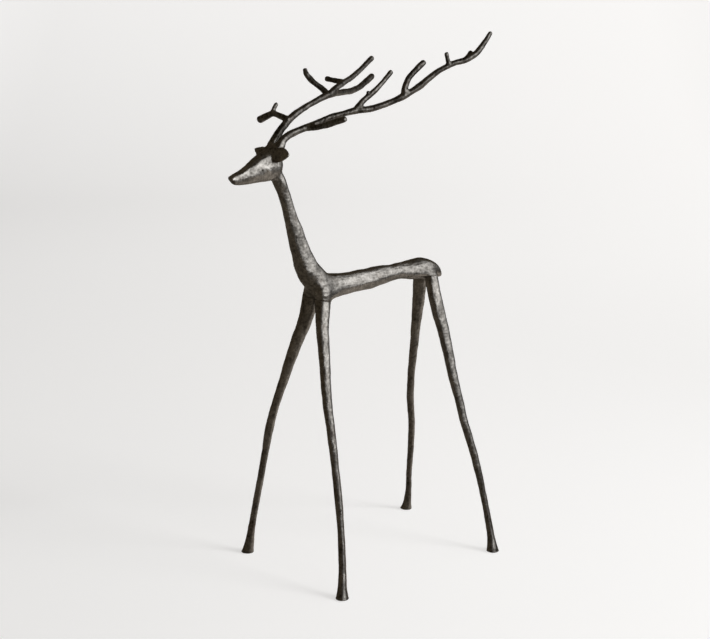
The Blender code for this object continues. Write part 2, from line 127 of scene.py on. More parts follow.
EAR_ROOT = (0.07, 0.16, 0.42)  # out, forward and up from the neck's top, in heads
EAR_RISES = {1: 0.09, -1: 0.18}  # how much each rises as it runs out
EAR_BLADE = (0.42, 0.91)  # the way an ear's breadth lies: back, up
EAR_WIDTH_AT_ROOT = 0.12  # where on the leaf's curve an ear starts
EAR_LEAVES = {1: (1.05, 0.70), -1: (0.50, 0.70)}  # the curve's powers: where it is widest, how blunt it is

# The hand's marks on a limb, as shares of its girth
WORKED_LENGTHS = (0.047, 0.029)  # of the two waves that swell a limb
LIMB_SWELL = 0.028
ANTLER_SWELL = 0.05
SWELL_FADE = 0.018  # how far from a limb's ends its marks begin
PLANED = 0.042  # how square a limb is left by the hand: four soft planes that wind slowly round it
ANTLER_PLANED = 0.025
TRUNK_PLANES = (0.75, 0.47)  # where the planes start round it, and metres for one quarter turn
LEG_PLANES = (1.65, -1.6)

# Relief, as the size and the height of its dents
THUMB_DENTS = (10 * MM, 0.24 * MM)
TOOL_STROKES = (4.2 * MM, 0.19 * MM)
PITS = (2.6 * MM, 0.10 * MM)
STROKE_STRETCH = 0.36  # dents and strokes are as broad as this share of their length
BACK_TOP = 0.545  # the height from which strokes begin to run up and down, and over how much they turn
BACK_TOP_FADE = 0.03

# How finely the surface is drawn
SKIN_STEP = 1.5 * MM
TRUNK_SIDES = 72
LEG_SIDES = 44
ANTLER_SIDES = 28
CAP_RINGS = 6
CAP_TURN = math.pi / 2 * 0.98  # a dome stops just short of its pole
ROUND_END_LENGTH = 0.8  # of a dome, in girths
FLAT_END_RINGS = (0.5, 0.02)  # shares of a flat end's radius
END_TURN = 0.01  # the length over which a limb turns square to its flat end
FOOT_EDGE = 1.6 * MM  # how far the rim under a foot is rounded
SEAM_EDGE = 0.5 * MM
HEAD_SECTION_STEP = 1.2 * MM
HEAD_END_RINGS = (0.02, 0.35, 0.7, 0.93)
EAR_RINGS = 36
VOXEL = 1.3 * MM

# How the forks are filled
FILL_ROUNDS = 460  # at shoulders and hips
FILL_SOFTENING = 0.10
FORK_ROUNDS = 36  # at the head and in the antlers' forks
RELAX_ROUNDS = 14
FILL_TOP = 0.60  # the height between the two, and over how much one passes into the other
FILL_TOP_FADE = 0.02
JOINT_FADE = 32 * MM  # over which the filling fades outwards, ending JOINT_ENDS of it from the middle
JOINT_ENDS = 1.9
RIM_KEPT = 1.2 * MM  # how far round the rim at a seam nothing is filled, and over how much it begins
RIM_FADE = 3.5 * MM

# Leg stations: share of the way down, sway outwards, sway back, girth
FRONT_LEFT_LEG = [
    (0.00, 0, 0, 26.0), (0.10, 0, -11, 22.4), (0.18, 0, -10, 20.4), (0.26, 0, -11, 19.0),
    (0.34, 0, -10, 17.6), (0.42, 1, -4, 15.8), (0.50, 1, 2, 15.2), (0.58, 0, 7, 13.8),
    (0.66, 0, 11, 14.6), (0.74, 0, 13, 12.8), (0.86, 0, 11, 13.4), (0.93, 0, 7, 14.6), (0.975, 0, 2, 18.2),
]
FRONT_RIGHT_LEG = [
    (0.00, 0, 0, 25.0), (0.08, -5, 1, 24.8), (0.15, 5, -3, 22.6), (0.24, 13, -9, 19.6),
    (0.32, 15, -16, 17.0), (0.41, 17, -24, 15.2), (0.50, 18, -24, 16.2), (0.59, 17, -18, 13.6),
    (0.69, 15, -12, 12.8), (0.78, 11, -9, 12.8), (0.88, 7, -5, 13.0), (0.972, 2, 0, 18.6),
]
HIND_LEFT_LEG = [
    (0.00, 0, 0, 21.5), (0.10, 0, -6, 23.8), (0.19, 0, -2, 21.8), (0.28, 0, -2, 19.2),
    (0.36, -1, -3, 17.6), (0.44, -2, 1, 15.8), (0.53, -2, 3, 15.0), (0.61, -1, 11, 14.4),
    (0.70, 0, 15, 13.8), (0.79, 0, 15, 12.0), (0.87, 0, 12, 12.2), (0.965, 0, 5, 16.4),
]
HIND_RIGHT_LEG = [
    (0.00, 0, 0, 22.5), (0.10, 0, 1, 22.4), (0.20, 0, -4, 17.8), (0.30, 0, -8, 15.4),
    (0.40, 0, -13, 14.0), (0.50, 0, -11, 14.0), (0.61, 0, 3, 13.0), (0.72, 0, 6, 12.4),
    (0.83, 0, 5, 11.4), (0.93, 0, 7, 13.0), (0.975, 0, 4, 16.8),
]
LEGS = {
    "front_left_leg": (FRONT_LEFT_LEG, True, 1),
    "front_right_leg": (FRONT_RIGHT_LEG, True, -1),
    "hind_left_leg": (HIND_LEFT_LEG, False, 1),
    "hind_right_leg": (HIND_RIGHT_LEG, False, -1),
}

# Neck, top to bottom: share of the rise, sway back, girth. Back, chest to rump: share, rise, girth.
# Rump and tail: distance behind the hip, rise, girth. All in thousandths of the neck or the back.
NECK = [
    (1.10, -10, 50), (1.00, 0, 60), (0.89, 4, 55), (0.79, -5, 55), (0.68, -14, 59), (0.57, -25, 70),
    (0.46, -34, 78), (0.34, -42, 86), (0.23, -42, 101), (0.125, -20, 116),
]
BACK = [
    (0.02, 28, 98), (0.16, -3, 92), (0.27, -6, 84), (0.37, -5, 82), (0.48, -4, 81), (0.59, 2, 75),
    (0.69, 5, 64), (0.80, 8, 64), (0.90, 3, 78), (1.00, -4, 84),
]
RUMP = [(57, -10, 78), (115, -26, 67), (161, -49, 50), (188, -67, 34), (201, -80, 24)]

# Head, nose to poll, from the top of the neck in thousandths of the head: the brow line's place back
# and up, the jaw line's, and the half widths at brow, cheek and jaw. Its typical depth and half widths, by
# which the points of a section are spaced, are shares of the head's length.
TYPICAL_HEAD_DEPTH = 0.4
TYPICAL_HEAD_WIDTHS = (0.092, 0.138, 0.084)
HEAD = [
    (-970, 128, -870, -6, 40, 66, 46), (-890, 168, -780, -16, 52, 82, 56),
    (-770, 218, -690, -15, 62, 96, 62), (-640, 290, -580, -8, 76, 114, 70),
    (-510, 388, -450, 2, 92, 138, 84), (-360, 475, -310, 8, 108, 158, 95),
    (-200, 525, -160, 18, 114, 164, 105), (-60, 500, -45, 40, 94, 138, 92), (38, 410, 24, 112, 50, 84, 52),
]
# Half of the head's section in three runs, brow, cheek and jaw: height, then shares of the three widths
HEAD_SECTION = [
    [(1.00, 0.00, 0.00, 0.00), (0.955, 0.60, 0.00, 0.00), (0.83, 0.62, 0.36, 0.00)],
    [(0.83, 0.62, 0.36, 0.00), (0.68, 0.25, 0.74, 0.00), (0.50, 0.00, 1.00, 0.00),
     (0.28, 0.00, 0.75, 0.25), (0.08, 0.00, 0.00, 1.00)],
    [(0.08, 0.00, 0.00, 1.00), (0.01, 0.00, 0.00, 0.50), (0.00, 0.00, 0.00, 0.00)],
]

# Antlers, from the root in thousandths of the sweep: out, back, up, girth
LEFT_ANTLER = {
    "beam": [
        (2, 20, 30, 21.0), (7, 53, 56, 18.5), (15, 96, 75, 18.2), (24, 135, 88, 17.2),
        (39, 176, 104, 16.0), (59, 228, 126, 15.2), (80, 279, 147, 14.8), (103, 328, 160, 15.0),
        (127, 376, 174, 16.5), (145, 412, 181, 18.0), (170, 454, 185, 16.2), (207, 517, 203, 16.0),
        (236, 562, 222, 15.2), (275, 623, 256, 17.6), (295, 658, 278, 16.0), (320, 695, 308, 17.4),
        (344, 728, 342, 16.0), (386, 782, 392, 14.0), (422, 835, 424, 14.2), (458, 895, 444, 15.4),
        (487, 946, 481, 15.6), (510, 985, 539, 13.2), (522, 1010, 583, 10.8),
    ],
    "first_tine": [
        (142, 406, 188, 18.0), (153, 430, 221, 15.5), (166, 472, 258, 14.6), (178, 503, 286, 13.9),
        (194, 545, 330, 11.9), (200, 566, 354, 12.8), (208, 585, 379, 13.2),
    ],
    "first_tine_spur": [(169, 479, 263, 10.9), (164, 463, 274, 9.6)],
    "second_tine": [
        (275, 626, 262, 18.0), (279, 623, 286, 17.0), (282, 626, 307, 16.0), (287, 642, 345, 15.4),
        (298, 682, 390, 15.4), (311, 725, 429, 14.8),
    ],
    "third_tine": [(412, 817, 420, 13.0), (414, 803, 454, 11.0), (415, 796, 476, 10.8)],
    "fourth_tine": [(458, 893, 443, 15.0), (454, 919, 463, 13.3), (451, 937, 481, 12.3)],
    "brow_tine": [
        (28, 160, 92, 16.0), (73, 178, 96, 14.8), (116, 186, 103, 14.4), (151, 192, 112, 15.6),
        (184, 201, 123, 16.6), (223, 211, 135, 16.2), (256, 220, 144, 15.0), (272, 225, 149, 13.6),
    ],
}
RIGHT_ANTLER = {
    "beam": [
        (3, 29, 41, 20.9), (8, 52, 66, 19.5), (15, 80, 90, 18.5), (24, 114, 115, 17.6),
        (35, 156, 139, 16.6), (50, 207, 161, 15.7), (69, 264, 180, 14.8), (87, 322, 197, 14.4),
        (109, 382, 214, 15.5), (130, 443, 227, 17.2), (191, 541, 231, 15.8), (255, 643, 231, 15.5),
        (320, 748, 232, 15.8), (378, 846, 246, 15.4), (427, 928, 270, 16.7), (474, 1008, 296, 16.0),
    ],
    "front_tine": [
        (133, 448, 227, 17.0), (164, 432, 259, 15.1), (194, 407, 288, 14.1), (216, 392, 311, 14.6),
        (231, 380, 334, 13.0), (243, 380, 355, 11.0),
    ],
    "rear_tine": [
        (135, 455, 228, 17.0), (173, 534, 262, 15.3), (209, 609, 284, 14.3), (261, 719, 317, 13.5),
        (307, 816, 358, 13.1), (349, 907, 401, 14.3),
    ],
    "rear_tine_spur": [
        (209, 609, 287, 13.5), (237, 585, 292, 14.1), (265, 570, 297, 13.4), (289, 558, 302, 14.4),
    ],
    "brow_tine": [
        (24, 115, 122, 17.5), (63, 95, 139, 14.2), (96, 73, 150, 14.2), (127, 54, 135, 16.7),
        (156, 36, 119, 18.5),
    ],
    "brow_tine_spur": [(96, 70, 150, 12.5), (99, 81, 173, 10.6), (106, 100, 195, 10.1)],
}

# Carving on both sides of the head: places from the neck's top, out, forward and up, then how wide and
# how deep, all in mm. What is raised has a depth below 0.
HEAD_CARVING = [
    ("edge of the muzzle", (4.5, 99.5, 10.7), (5.5, 95.2, 1.7), 1.2, 1.0),
    ("upper lip", (6.5, 94.8, 8.1), (7.5, 89.7, 11.1), 2.4, -0.7),
    ("mouth", (8.0, 86.3, 7.0), (12.5, 65.4, 8.2), 1.1, 0.35),
    ("front of the cheek", (9.5, 78.5, 16.1), (11.5, 68.3, 20.3), 3.2, -0.8),
    ("eye", (12.0, 63.8, 22.4), (13.0, 61.7, 17.0), 1.7, 1.1),
    ("corner of the eye", (12.8, 60.5, 21.5), (13.2, 56.0, 23.6), 1.7, -0.6),
    ("brow", (13.2, 54.0, 26.7), (13.5, 46.4, 30.2), 3.4, -0.9),
    ("fold before the ear", (15.0, 41.5, 34.1), (15.5, 34.2, 31.7), 1.2, 0.5),
    ("back of the cheek", (16.0, 34.6, 26.5), (16.0, 27.9, 18.0), 3.0, -0.6),
    ("jaw", (15.8, 41.3, 20.5), (15.5, 38.8, 10.5), 1.3, 0.9),
]

# The patina's patterns, and the sand's grain, coarse enough to show
PATINA_BLOTCH = 25 * MM
BRUSH_STROKE = 4 * MM
BROWN_PATCH = 40 * MM
SAND_GRAIN = 1.2 * MM
GRAIN_DEPTH = 0.3 * MM
# The legs' ends are darker towards the feet, and the antlers carry painted shade: two heights, and how much
# barer the skin is at each
PAINTED_ANTLER_SHADE_AND_DARKER_FEET = [(0.02, 0.25, -0.07, 0.0), (0.735, 0.765, 0.0, -0.20)]

# The studio
FLAT_OUT = 5.0  # the floor's flat radius, and that of its sweep up into a wall
SWEEP_RADIUS = 4.0
FLOOR_RINGS = 60
FLOOR_SPOKES = 96
# Painted light on the floor: two ways along it in which it glows more, brighter towards the lit side and
# further back: from and to how far, and how bright at each
PAINTED_FLOOR_LIGHT = [
    ((0.612, 0.791, 0.0), (-2.0, 2.0), (0.480, 0.810)),
    ((-0.791, 0.612, 0.0), (-1.0, 3.0), (0.0, 0.05)),
]
FLOOR_SEEN = (0.03, 0.34)  # how bright the metal sees the floor, on its dark and on its bright side
FLOOR_SEEN_WAY = 75.0  # degrees from +X towards +Y
FLOOR_SEEN_FROM = -0.20  # cosine from that way at which the floor begins to brighten
FLOOR_SEEN_BELOW = (-0.05, -0.30)  # how far down a look must go to see some of the floor, and all of it
ROOM_LIGHT = 0.06

# The long soft light: a cloth round part of a circle
CLOTH_AWAY = 1.5
CLOTH_ENDS = (-34.0, 97.0)  # degrees from +X towards +Y
CLOTH_HEIGHTS = (0.0, 2.30)
CLOTH_LIGHT = 1.5
CLOTH_TOP = 0.66  # its top's share of that, reached from CLOTH_TOP_FROM of its height upwards
CLOTH_TOP_FROM = 0.30
CLOTH_LOW_FADE = (0.30, 0.60)  # share of its height over which it brightens, in front and behind
CLOTH_LOW_FADE_SPAN = (0.35, 0.80)  # shares of its length between which the one passes into the other
CLOTH_NEAR_FADE = 0.16  # share of its length over which it brightens in front
CLOTH_END_FADE = 0.41  # and over which it dims behind, to CLOTH_END_LIGHT
CLOTH_END_LIGHT = 0.35
CLOTH_COLUMNS = 40
CLOTH_ROWS = 12

LAMP_LIGHT = 3.7
LAMP_WIDTH = 24.0  # degrees, as are its height above the floor and its turn
LAMP_RISE = 24.0
LAMP_TURN = 120.0

CAMERA_PLACE = (1.8755, -1.4469, 0.9634)
CAMERA_DOWN = 12.47  # degrees
CAMERA_TURN = 52.268
CAMERA_LENS = 70.83


def place(out, forward, height):
    """A point of the figure: out to the deer's left, forward of the origin, above the ground."""
    return np.array([out, -forward, height])


# The solids' own place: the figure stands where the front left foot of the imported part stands
foot_low, foot_high = (np.array(corner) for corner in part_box("front_left_leg"))
ORIGIN = np.array([
    foot_high[0] - FOOT_RADIUS - FRONT_STANCE / 2,
    foot_low[1] + FOOT_RADIUS + BACK_LENGTH / 2 + FRONT_LEFT_REACH,
    0.0,
])
CHEST = ORIGIN + place(0.0, BACK_LENGTH / 2, SHOULDER_HEIGHT)
RUMP_MIDDLE = ORIGIN + place(0.0, -BACK_LENGTH / 2, HIP_HEIGHT)
NECK_TOP = CHEST + place(0.0, NECK_LEAN, NECK_RISE)


def unit(vector):
    """The vector's direction, 1 long."""
    return vector / np.linalg.norm(vector)


def through(rows, step):
    """Rows read about every step along the cubic curve that passes through the given ones."""
    rows = np.asarray(rows, float)
    reach = np.linalg.norm(np.diff(rows[:, :3], axis=0), axis=1)
    at = np.concatenate([[0.0], np.cumsum(reach)])
    slope = np.gradient(rows, at, axis=0)
    wanted = np.linspace(0.0, at[-1], max(2, round(at[-1] / step)) + 1)
    span = np.clip(np.searchsorted(at, wanted, side="right") - 1, 0, len(reach) - 1)
    length = reach[span][:, None]
    t = ((wanted - at[span])[:, None]) / length
    start, end = rows[span], rows[span + 1]
    leave, arrive = slope[span] * length, slope[span + 1] * length
    return (
        start * (2 * t**3 - 3 * t**2 + 1)
        + leave * (t**3 - 2 * t**2 + t)
        + end * (3 * t**2 - 2 * t**3)
        + arrive * (t**3 - t**2)
    )


def worked(along, round_about, seed):
    """The slow swell of a limb, from -1 to 1: two waves along it that wind round it."""
    long_wave, short_wave = WORKED_LENGTHS
    first = np.sin(math.tau * along / long_wave + round_about + seed)
    second = np.sin(math.tau * along / short_wave - 2 * round_about + 2.3 * seed)
    return 0.55 * first + 0.45 * second


def closed(rings):
    """Points and faces of a skin over a grid of rings, whose first and last ring are shrunk to a point."""
    count, sides = rings.shape[:2]
    ring, side = np.meshgrid(np.arange(count - 1), np.arange(sides), indexing="ij")
    here, there, after = ring * sides, (ring + 1) * sides, (side + 1) % sides
    quads = np.stack([here + side, here + after, there + after, there + side], axis=-1).reshape(-1, 4)
    poles = np.array([rings[0].mean(axis=0), rings[-1].mean(axis=0)])
    points = np.vstack([rings.reshape(-1, 3), poles])
    rim = np.arange(sides)
    first = np.stack([np.roll(rim, -1), rim, np.full(sides, count * sides)], axis=-1)
    last = np.stack([rim, np.roll(rim, -1), np.full(sides, count * sides + 1)], axis=-1)
    last[:, :2] += (count - 1) * sides
    return points, quads, np.vstack([first, last])


def limb(
    stations, sides, seed, start="round", finish="round", finish_axis=None,
    depth=LIMB_SWELL, planed=0.0, planes=LEG_PLANES,
):
    """A round limb: circles of the stations' girth, swollen by the hand's waves and a little squared,
    set square to the curve through the stations. An end is a dome, or, where the width of its rounded
    rim is given, a flat disc."""
    path = through(stations, SKIN_STEP)
    along = np.concatenate([[0.0], np.cumsum(np.linalg.norm(np.diff(path[:, :3], axis=0), axis=1))])
    tangents = np.gradient(path[:, :3], along, axis=0)
    tangents /= np.linalg.norm(tangents, axis=1)[:, None]
    if finish_axis is not None:
        turn = np.clip(1 - (along[-1] - along) / END_TURN, 0, 1)[:, None]
        tangents = tangents * (1 - turn) + finish_axis * turn
        tangents /= np.linalg.norm(tangents, axis=1)[:, None]
    across = unit(np.cross(tangents[0], UP if abs(tangents[0] @ UP) < 0.9 else OUT))
    frames = []
    for tangent in tangents:
        across = unit(across - tangent * (across @ tangent))
        frames.append(across)
    across = np.array(frames)
    around = np.cross(tangents, across)
    angles = np.arange(sides) * math.tau / sides
    fade = np.clip(np.minimum(along, along[-1] - along) / SWELL_FADE, 0, 1)
    swell = depth * fade[:, None] * worked(along[:, None], angles[None, :], seed)
    corners = angles[None, :] * 4 + along[:, None] / planes[1] * math.tau + planes[0]
    swell = swell + planed * fade[:, None] * np.cos(corners)
    girth = path[:, 3:4] * (1 + swell)
    spokes = np.cos(angles)[None, :, None] * across[:, None] + np.sin(angles)[None, :, None] * around[:, None]
    rings = path[:, None, :3] + girth[..., None] * spokes
    for end, shape in ((0, start), (-1, finish)):
        middle, rim, size = path[end, :3], rings[end], path[end, 3]
        outward = tangents[end] * (-1 if end == 0 else 1)
        turn = np.arange(1, CAP_RINGS + 1) / CAP_RINGS * CAP_TURN
        if shape == "round":
            shrink, lift = np.cos(turn), size * ROUND_END_LENGTH * np.sin(turn)
        else:
            # the rim starts a little short of the end, so that the rounding ends level with it
            rings[end] = rings[end] - outward * shape
            shrink = np.append(1 - shape / size * (1 - np.cos(turn)), FLAT_END_RINGS)
            lift = np.append(shape * np.sin(turn) - shape, np.zeros(len(FLAT_END_RINGS)))
        cap = middle + (rim - middle)[None] * shrink[:, None, None] + outward * lift[:, None, None]
        rings = np.concatenate([cap[::-1], rings]) if end == 0 else np.concatenate([rings, cap])
    return closed(rings)


def leg_stations(stations, front, side):
    """A leg's stations in space: down a straight line from its seam to its foot, with its sways."""
    if front:
        seam = CHEST + place(side * FRONT_SEAM_OUT, FRONT_SEAM_FORWARD, -FRONT_SEAM_DROP)
        reach = FRONT_LEFT_REACH if side > 0 else FRONT_RIGHT_REACH
        foot = ORIGIN + place(side * FRONT_STANCE / 2, BACK_LENGTH / 2 + reach, 0.0)
    else:
        seam = RUMP_MIDDLE + place(side * HIND_SEAM_OUT, -HIND_SEAM_BACK, -HIND_SEAM_DROP)
        reach = HIND_LEFT_REACH if side > 0 else HIND_RIGHT_REACH
        foot = ORIGIN + place(side * HIND_STANCE / 2, -BACK_LENGTH / 2 - reach, 0.0)
    scale = seam[2] * THOUSANDTH
    rows = []
    for share, out, back, girth in stations:
        point = seam + (foot - seam) * share + np.array([side * out, back, 0.0]) * scale
        rows.append((*point, girth * scale))
    rows.append((*foot, FOOT_RADIUS))
    return np.array(rows)


def leg_form(stations, front, side, seed):
    """A leg from its seam down to a small flared foot with a flat underside."""
    rows = leg_stations(stations, front, side)
    rows[0, :3] -= unit(rows[1, :3] - rows[0, :3]) * LET_IN[side]
    points, quads, triangles = limb(rows, LEG_SIDES, seed, SEAM_EDGE, FOOT_EDGE, -UP, planed=PLANED)
    return at_the_seam(points, stations, front, side), quads, triangles


def at_the_seam(points, stations, front, side):
    """What the hand does to a leg on both sides of its seam. The two legs of a pair are thickened
    towards each other, as clay is in a crotch, less below the seam by a square root."""
    *middle, girth = leg_stations(stations, front, side)[0]
    below = (middle[2] - points[:, 2]) / CROTCH_DEPTH
    inner = np.clip((middle[0] - points[:, 0]) * side / girth, 0, 1)
    fill = FRONT_CROTCH_FILL if front else HIND_CROTCH_FILL
    points = points.copy()
    points[:, 0] -= side * fill * inner * np.sqrt(np.clip(1 - below, 0, 1))
    return seam_turned(points, stations, front, side)


def seam_turned(points, stations, front, side):
    """Points near a front leg's seam moved up or down, so that the level seam becomes a slope."""
    if not front:
        return points
    seam = leg_stations(stations, front, side)[0, :3]
    near = np.clip(1 - np.linalg.norm(points - seam, axis=1) / SEAM_SLOPE_REACH, 0, 1)
    along_slope = (points[:, :2] - seam[:2]) @ (SEAM_SLOPE_WAY * (side, 1))
    moved = points.copy()
    moved[:, 2] -= SEAM_SLOPE * along_slope * near
    return moved


def stub_form(stations, front, side, seed):
    """The short length of leg that is cast with the body, ending square at the seam."""
    rows = leg_stations(stations, front, side)
    seam, axis, girth = rows[0, :3], unit(rows[1, :3] - rows[0, :3]), rows[0, 3]
    inside = CHEST if front else RUMP_MIDDLE
    lip = (SHOULDER_LIPS if front else HIP_LIPS)[side]
    out, back, down, root_girth = FRONT_STUBS[side] if front else HIND_STUB
    root = inside + place((seam[0] - inside[0]) * out, -back * girth, -down * girth)
    middle = root + (seam - root) * STUB_MIDDLE
    stub = [(*root, girth * root_girth), (*middle, girth * STUB_MIDDLE_GIRTH), (*seam, girth + lip)]
    for share_out, forward, up, share in SHOULDER_RISES[side] if front else HIP_RISE:
        stub.insert(0, (*(inside + place(side * share_out, forward, up) * MM), girth * share))
    points, quads, triangles = limb(stub, TRUNK_SIDES, seed, "round", SEAM_EDGE, finish_axis=axis)
    return at_the_seam(points, stations, front, side), quads, triangles


def web_form(middle, rows, side, seed):
    """A smooth swelling between two limbs, at places counted from the middle of the chest or the rump."""
    return limb(
        [(*(middle + place(side * out, -back, up) * MM), girth * MM) for out, back, up, girth in rows],
        LEG_SIDES, seed,
    )


def trunk_form():
    """Neck, chest, back, rump and tail in one run from the skull to the tail's tip."""
    neck_size = NECK_RISE * THOUSANDTH
    back_size = BACK_LENGTH * THOUSANDTH
    rows = []
    for share, back, girth in NECK:
        point = CHEST + (NECK_TOP - CHEST) * share - place(0.0, back * neck_size, 0.0)
        rows.append((*point, girth * neck_size))
    for share, rise, girth in BACK:
        point = CHEST + (RUMP_MIDDLE - CHEST) * share + UP * rise * back_size
        rows.append((*point, girth * back_size))
    for back, rise, girth in RUMP:
        point = RUMP_MIDDLE + place(0.0, -back * back_size, rise * back_size)
        rows.append((*point, girth * back_size))
    return limb(rows, TRUNK_SIDES, 0.4, planed=PLANED, planes=TRUNK_PLANES)


def head_form():
    """A wedge of a head: at each place along it the half section runs from the brow line down to the
    jaw line, as wide as the shares of the brow's, cheek's and jaw's widths, and is mirrored."""
    rows = through(np.array(HEAD) * HEAD_LENGTH * THOUSANDTH, SKIN_STEP)
    typical = np.array(TYPICAL_HEAD_WIDTHS) * HEAD_LENGTH
    runs = []
    for run in HEAD_SECTION:
        run = np.array(run)
        width = run[:, 1:] @ typical
        height = run[:, 0] * TYPICAL_HEAD_DEPTH * HEAD_LENGTH
        flat = np.zeros_like(width)
        fine = through(np.column_stack([width, flat, height, run]), HEAD_SECTION_STEP)[:, 3:]
        runs.append(fine if not runs else fine[1:])
    section = np.vstack(runs)
    height, shares = section[:, 0], section[:, 1:]
    x = rows[:, 4:7] @ shares.T
    y = rows[:, 2:3] + (rows[:, 0:1] - rows[:, 2:3]) * height
    z = rows[:, 3:4] + (rows[:, 1:2] - rows[:, 3:4]) * height
    half = np.stack([x, y, z], axis=-1)
    other = half[:, -2:0:-1] * np.array([-1.0, 1.0, 1.0])
    rings = np.concatenate([half, other], axis=1) + NECK_TOP
    ends = []
    for end in (0, -1):
        middle = rings[end].mean(axis=0)
        ends.append(middle + (rings[end] - middle) * np.array(HEAD_END_RINGS)[:, None, None])
    return closed(np.concatenate([ends[0], rings, ends[1][::-1]]))


def ear_form(side):
    """A cupped leaf that stands out from the skull: an oval section whose width follows a leaf's
    curve, bent towards the front along its edges."""
    out, forward, rise = EAR_ROOT
    root = NECK_TOP + place(side * out, forward, rise) * HEAD_LENGTH
    axis = unit(np.array([side, 0.0, EAR_RISES[side]]))
    wide = unit(np.array([0.0, *EAR_BLADE]))
    thick = unit(np.cross(axis, wide)) * side
    angles = np.arange(ANTLER_SIDES) * math.tau / ANTLER_SIDES
    share = np.linspace(0.0, 0.99, EAR_RINGS)[:, None]  # the leaf's curve comes to nothing at 1
    widest, blunt = EAR_LEAVES[side]
    leaf = np.sin(math.pi * (EAR_WIDTH_AT_ROOT + (1 - EAR_WIDTH_AT_ROOT) * share) ** widest) ** blunt
    width = EAR_WIDTHS[side] / 2 * leaf * np.cos(angles)
    depth = EAR_THICKNESS / 2 * leaf**0.5 * np.sin(angles) + EAR_THICKNESS / 2 * leaf * np.cos(angles) ** 2
    rings = root + (axis * EAR_LENGTHS[side]) * share[..., None]
    rings = rings + width[..., None] * wide + depth[..., None] * thick
    if side < 0:
        rings = rings[:, ::-1]
    return closed(rings)


def crown_form():
    """The top of the skull between the ears, on which the antlers stand: a low arch from ear to ear."""
    rows = [(*(NECK_TOP + place(out, forward, up) * MM), girth * MM) for out, forward, up, girth in CROWN]
    return limb(np.array(rows), ANTLER_SIDES, 2.0)


def antler_rows(rows, side, sweep):
    """Stations of an antler in space, the out of each counted away from the deer's middle."""
    root = NECK_TOP + place(side * ANTLER_ROOT_OUT, ANTLER_ROOT_FORWARD, ANTLER_ROOT_RISE)
    rows = np.array(rows) * sweep * THOUSANDTH
    rows[:, 0] *= side
    rows[:, 3] *= ANTLER_GIRTH
    rows[:, :3] += root
    return root, rows


def antler_forms(antler, side, sweep):
    """The stump on the crown, the beam and the tines. Each tine starts inside what it grows from."""
    root, rows = antler_rows(antler["beam"], side, sweep)
    axis = unit(rows[0, :3] - root)
    lean = place(side * ANTLER_ROOT_OUT * PEDICLE_LEAN, 0.0, 0.0)
    inside = root - axis * ANTLER_ROOT_RADIUS * PEDICLE_DEPTH - lean
    top = root + axis * PEDICLE_OVERLAP
    stump = [(*inside, ANTLER_ROOT_RADIUS * PEDICLE_GIRTH), (*top, ANTLER_ROOT_RADIUS)]
    forms = [limb(np.array(stump), ANTLER_SIDES, 5.0)]
    beam = np.vstack([(*root, ANTLER_ROOT_RADIUS), rows])
    forms.append(limb(beam, ANTLER_SIDES, 1.0 + side, depth=ANTLER_SWELL, planed=ANTLER_PLANED))
    for seed, (name, tine) in enumerate(antler.items()):
        if name != "beam":
            rows = antler_rows(tine, side, sweep)[1]
            forms.append(limb(rows, ANTLER_SIDES, seed, depth=ANTLER_SWELL, planed=ANTLER_PLANED))
    return forms


def mesh_of(name, forms):
    """One mesh that holds several closed forms."""
    points, faces, first = [], [], 0
    for form_points, quads, triangles in forms:
        points.append(form_points)
        faces += (quads + first).tolist() + (triangles + first).tolist()
        first += len(form_points)
    mesh = bpy.data.meshes.new(name)
    mesh.from_pydata(np.vstack(points).tolist(), [], faces)
    mesh.update()
    return mesh


def fused(name, forms):
    """Overlapping closed forms made one skin, by reading them into a fine grid of cells."""
    source = linked(name + "_forms", mesh_of(name + "_forms", forms))
    cells = source.modifiers.new("cells", "REMESH")
    cells.mode = "VOXEL"
    cells.voxel_size = VOXEL
    bpy.context.view_layer.update()
    depsgraph = bpy.context.evaluated_depsgraph_get()
    mesh = bpy.data.meshes.new_from_object(source.evaluated_get(depsgraph))
    mesh.name = name
    bpy.data.objects.remove(source, do_unlink=True)
    return mesh


def read(mesh):
    """A mesh's points, edges and faces as arrays; triangles get their last corner twice."""
    points = np.empty(len(mesh.vertices) * 3)
    mesh.vertices.foreach_get("co", points)
    edges = np.empty(len(mesh.edges) * 2, int)
    mesh.edges.foreach_get("vertices", edges)
    corners = np.empty(len(mesh.loops), int)
    mesh.loops.foreach_get("vertex_index", corners)
    starts = np.empty(len(mesh.polygons), int)
    mesh.polygons.foreach_get("loop_start", starts)
    sizes = np.empty(len(mesh.polygons), int)
    mesh.polygons.foreach_get("loop_total", sizes)
    faces = corners[starts[:, None] + np.minimum(np.arange(4)[None], sizes[:, None] - 1)]
    return points.reshape(-1, 3), edges.reshape(-1, 2), faces


def pulls(points, edges):
    """From each point to the middle of its neighbours."""
    one, other = edges.T
    count = len(points)
    share = np.bincount(one, minlength=count) + np.bincount(other, minlength=count)
    total = np.stack([
        np.bincount(one, points[other, axis], count) + np.bincount(other, points[one, axis], count)
        for axis in range(3)
    ], axis=1)
    return total / np.maximum(share, 1)[:, None] - points


def normals(points, faces):
    """Outward directions at the points: the mean of the faces around each, from their diagonals."""
    square = np.cross(points[faces[:, 2]] - points[faces[:, 0]], points[faces[:, 3]] - points[faces[:, 1]])
    total = np.stack([
        sum(np.bincount(faces[:, corner], square[:, axis], len(points)) for corner in range(4))
        for axis in range(3)
    ], axis=1)
    return total / np.maximum(np.linalg.norm(total, axis=1), 1e-12)[:, None]


def relaxed(points, edges, rounds):
    """Small unevenness taken out and the girth kept: each round pulls in by half and lets out a little
    more."""
    for _ in range(rounds):
        points = points + 0.50 * pulls(points, edges)
        points = points - 0.53 * pulls(points, edges)
    return points


